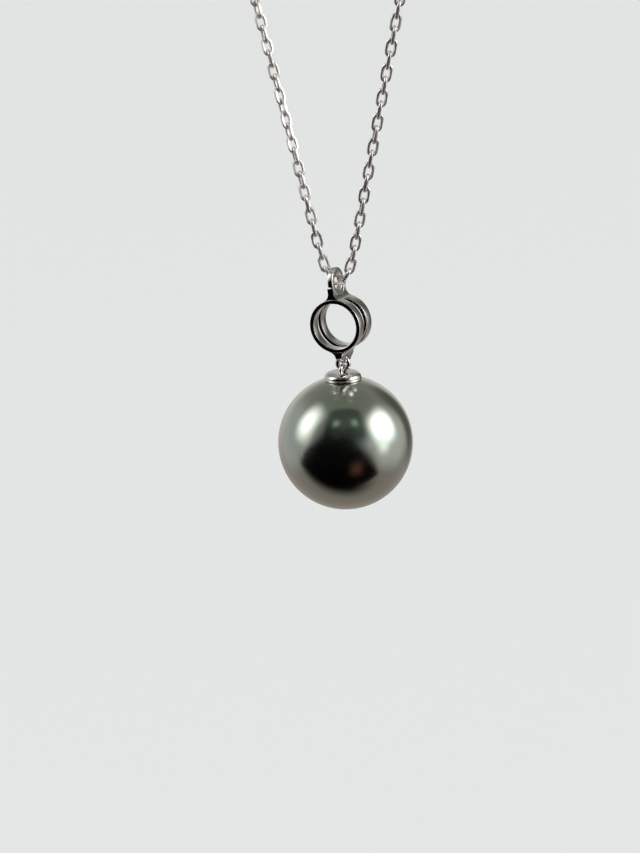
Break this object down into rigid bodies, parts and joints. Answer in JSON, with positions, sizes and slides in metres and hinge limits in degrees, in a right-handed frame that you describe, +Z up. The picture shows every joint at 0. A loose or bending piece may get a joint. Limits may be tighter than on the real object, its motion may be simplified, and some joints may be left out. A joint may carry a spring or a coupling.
{
  "type": "pearl pendant necklace",
  "caption": "Round dark pearl in a metal cup, hung by a link from a double-band ring bail on a fine trace chain with a bolt ring clasp; the chain's upper part is wound.",
  "frame": {"origin": "top of the inside of the wound chain, where the necklace hangs on a peg, hook or finger", "axes": "+Z up, front of the bail towards -Y, the chain's V in the XZ plane, +Y along the peg"},
  "size_m": [0.02, 0.0104, 0.065],
  "materials": {
    "chain_metal": "polished, diamond cut",
    "white_metal": "mirror polished, rhodium plated",
    "spring_steel": "drawn wire",
    "nacre": "dark grey-green nacre with a satin lustre and green and rose overtones",
    "shell_bead": "polished shell",
    "tie_thread": "twisted cotton thread"
  },
  "bodies": {
    "chain": {"chain_strands": "chain_metal", "chain_coil": "chain_metal", "chain_end_left": "chain_metal", "chain_end_right": "chain_metal", "coil_tie_left": "tie_thread", "coil_tie_right": "tie_thread", "end_ring_left": "white_metal", "end_ring_right": "white_metal", "clasp_body": "white_metal", "clasp_tail_loop": "white_metal", "clasp_spring": "spring_steel"},
    "bolt": {"clasp_bolt": "white_metal", "clasp_knob": "white_metal"},
    "bail": {"bail_loop": "white_metal", "bail_neck": "white_metal", "bail_front_band": "white_metal", "bail_rear_band": "white_metal", "bail_lug": "white_metal"},
    "connector": {"connector_link": "white_metal"},
    "pearl": {"cup_eye": "white_metal", "pearl_cup": "white_metal", "cup_post": "white_metal", "pearl_nacre": "nacre", "pearl_nucleus": "shell_bead"}
  },
  "joints": [
    {"name": "bail_swing", "type": "hinge", "parent": "chain", "child": "bail", "pos_m": [0, 0, -0.04178], "axis": [1, 0, 0], "range_deg": [-70, 70]},
    {"name": "connector_swing", "type": "hinge", "parent": "bail", "child": "connector", "pos_m": [0.00034, 0, -0.0478], "axis": [1, 0, 0], "range_deg": [-40, 40]},
    {"name": "pearl_swing", "type": "hinge", "parent": "connector", "child": "pearl", "pos_m": [0.0001, 0, -0.04839], "axis": [0, 1, 0], "range_deg": [-30, 30]},
    {"name": "bolt_turn", "type": "hinge", "parent": "chain", "child": "bolt", "pos_m": [0, 0, 0.004], "axis": [0, 0, 1], "range_deg": [0, 50], "stiffness_Nm_per_rad": 0.002, "springref_deg": -17.19, "deforming": ["clasp_spring"]}
  ]
}
